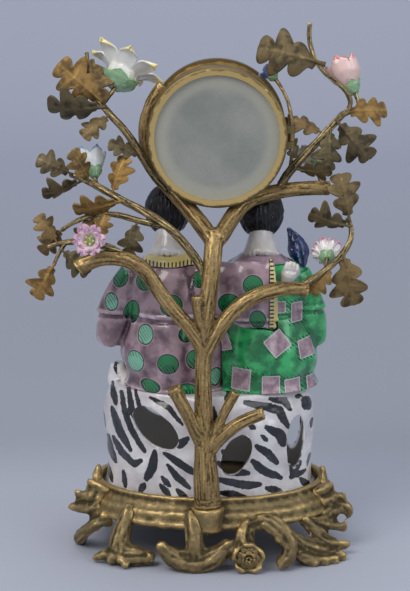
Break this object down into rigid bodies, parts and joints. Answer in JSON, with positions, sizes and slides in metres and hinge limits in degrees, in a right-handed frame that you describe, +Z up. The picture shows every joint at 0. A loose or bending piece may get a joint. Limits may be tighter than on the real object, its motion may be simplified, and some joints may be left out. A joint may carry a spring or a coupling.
{
  "type": "figural mantel clock",
  "caption": "Porcelain figures seated on a pierced rock in a gilt-bronze scrolled base, with a leafy bronze tree behind them that carries a round clock case with glazed doors.",
  "frame": {"origin": "centre of the footprint, on the table", "axes": "+Z up; +Y towards the dial side, so the pictured back faces -Y; +X to the right as seen from the back"},
  "size_m": [0.2038, 0.1462, 0.3093],
  "materials": {
    "gilt_bronze": "fire-gilt, dark in the hollows",
    "steel": "turned",
    "rock_porcelain": "glazed white with brown-black stripes",
    "robe_aubergine": "glazed aubergine with green roundels",
    "robe_green": "glazed green with mauve patches",
    "skin_porcelain": "glazed white",
    "hair_black": "glazed black",
    "lotus_blue": "glazed blue",
    "trunk_bronze": "fire-gilt with bark chasing",
    "branch_bronze": "patinated",
    "leaf_bronze": "patinated with gilt edges",
    "flower_white": "glazed",
    "flower_pink": "glazed",
    "flower_blue": "glazed",
    "case_brass": "bright gilt",
    "rear_glass": "dusty",
    "front_glass": "clear",
    "movement_brass": "grained",
    "spring_steel": "blued",
    "dial_enamel": "white enamel",
    "hand_brass": "gilt"
  },
  "bodies": {
    "clock": {"base_platform": "gilt_bronze", "shell_feet": "gilt_bronze", "corner_feet": "gilt_bronze", "end_scrolls": "gilt_bronze", "rear_rose": "gilt_bronze", "rock_bolt": "steel", "base_nuts": "steel", "case_screws": "steel", "hinge_pins": "steel", "rock": "rock_porcelain", "left_robe": "robe_aubergine", "right_robe": "robe_green", "heads": "skin_porcelain", "hands": "skin_porcelain", "hair_caps": "hair_black", "lotus_bud": "lotus_blue", "tree_trunk": "trunk_bronze", "left_upper_branch": "branch_bronze", "left_middle_branch": "branch_bronze", "left_lower_branch": "branch_bronze", "right_upper_branch": "branch_bronze", "right_lower_branch": "branch_bronze", "left_upper_leaves": "leaf_bronze", "left_middle_leaves": "leaf_bronze", "left_lower_leaves": "leaf_bronze", "right_upper_leaves": "leaf_bronze", "right_lower_leaves": "leaf_bronze", "lily_flower": "flower_white", "bell_flower": "flower_white", "white_flower": "flower_white", "daisy_flower": "flower_white", "pink_flower": "flower_pink", "rose_bud": "flower_pink", "blue_flower": "flower_blue", "drum_case": "case_brass", "front_plate": "movement_brass", "rear_plate": "movement_brass", "pillars": "movement_brass", "balance_cock": "movement_brass", "balance_spring": "spring_steel", "dial": "dial_enamel"},
    "rear_door": {"rear_bezel": "case_brass", "rear_glass": "rear_glass"},
    "front_door": {"front_bezel": "case_brass", "front_glass": "front_glass"},
    "minute_work": {"centre_wheel": "movement_brass", "cannon_pinion": "movement_brass", "minute_hand": "hand_brass"},
    "hour_work": {"hour_wheel": "movement_brass", "hour_hand": "hand_brass"},
    "minute_wheel_body": {"minute_wheel": "movement_brass"},
    "second_wheel_body": {"second_wheel": "movement_brass"},
    "barrel": {"going_barrel": "movement_brass", "mainspring": "spring_steel"},
    "winder": {"winding_arbor": "steel"},
    "third_wheel_body": {"third_wheel": "movement_brass"},
    "escape_wheel_body": {"escape_wheel": "movement_brass"},
    "pallet_body": {"pallets": "steel"},
    "balance": {"balance_wheel": "movement_brass"},
    "click_body": {"click": "steel"}
  },
  "joints": [
    {"name": "rear_door_hinge", "type": "hinge", "parent": "clock", "child": "rear_door", "pos_m": [0.0465, -0.024, 0.2457], "axis": [0, 0, 1], "range_deg": [0, 110]},
    {"name": "front_door_hinge", "type": "hinge", "parent": "clock", "child": "front_door", "pos_m": [0.0465, 0.018, 0.2457], "axis": [0, 0, -1], "range_deg": [0, 110]},
    {"name": "minute_hand_turn", "type": "hinge", "parent": "clock", "child": "minute_work", "pos_m": [0.004, 0, 0.2457], "axis": [0, -1, 0], "continuous": true},
    {"name": "hour_hand_turn", "type": "hinge", "parent": "clock", "child": "hour_work", "pos_m": [0.004, 0, 0.2457], "axis": [0, -1, 0], "continuous": true},
    {"name": "minute_wheel_turn", "type": "hinge", "parent": "clock", "child": "minute_wheel_body", "pos_m": [0.01179, 0, 0.2412], "axis": [0, -1, 0], "continuous": true},
    {"name": "second_wheel_turn", "type": "hinge", "parent": "clock", "child": "second_wheel_body", "pos_m": [-0.00466, 0, 0.24021], "axis": [0, -1, 0], "continuous": true},
    {"name": "barrel_turn", "type": "hinge", "parent": "clock", "child": "barrel", "pos_m": [0.004, 0, 0.2287], "axis": [0, -1, 0], "continuous": true},
    {"name": "third_wheel_turn", "type": "hinge", "parent": "clock", "child": "third_wheel_body", "pos_m": [0.00895, 0, 0.25427], "axis": [0, -1, 0], "continuous": true},
    {"name": "escape_wheel_turn", "type": "hinge", "parent": "clock", "child": "escape_wheel_body", "pos_m": [0.00747, 0, 0.26265], "axis": [0, -1, 0], "continuous": true},
    {"name": "winding_turn", "type": "hinge", "parent": "clock", "child": "winder", "pos_m": [0.004, 0, 0.2287], "axis": [0, -1, 0], "continuous": true},
    {"name": "pallet_rock", "type": "hinge", "parent": "clock", "child": "pallet_body", "pos_m": [-0.00139, 0, 0.26108], "axis": [0, -1, 0], "range_deg": [-3, 3]},
    {"name": "balance_swing", "type": "hinge", "parent": "clock", "child": "balance", "pos_m": [-0.005, 0, 0.2612], "axis": [0, -1, 0], "range_deg": [-135, 135]},
    {"name": "click_lift", "type": "hinge", "parent": "clock", "child": "click_body", "pos_m": [-0.003, 0, 0.2331], "axis": [0, -1, 0], "range_deg": [0, 10]}
  ],
  "couplings": [
    {"joint": "hour_hand_turn", "follows": "minute_hand_turn", "ratio": 0.083333},
    {"joint": "minute_wheel_turn", "follows": "minute_hand_turn", "ratio": -0.33333},
    {"joint": "second_wheel_turn", "follows": "minute_hand_turn", "ratio": -0.13889},
    {"joint": "barrel_turn", "follows": "minute_hand_turn", "ratio": 0.019841},
    {"joint": "third_wheel_turn", "follows": "minute_hand_turn", "ratio": -8},
    {"joint": "escape_wheel_turn", "follows": "minute_hand_turn", "ratio": 60}
  ]
}
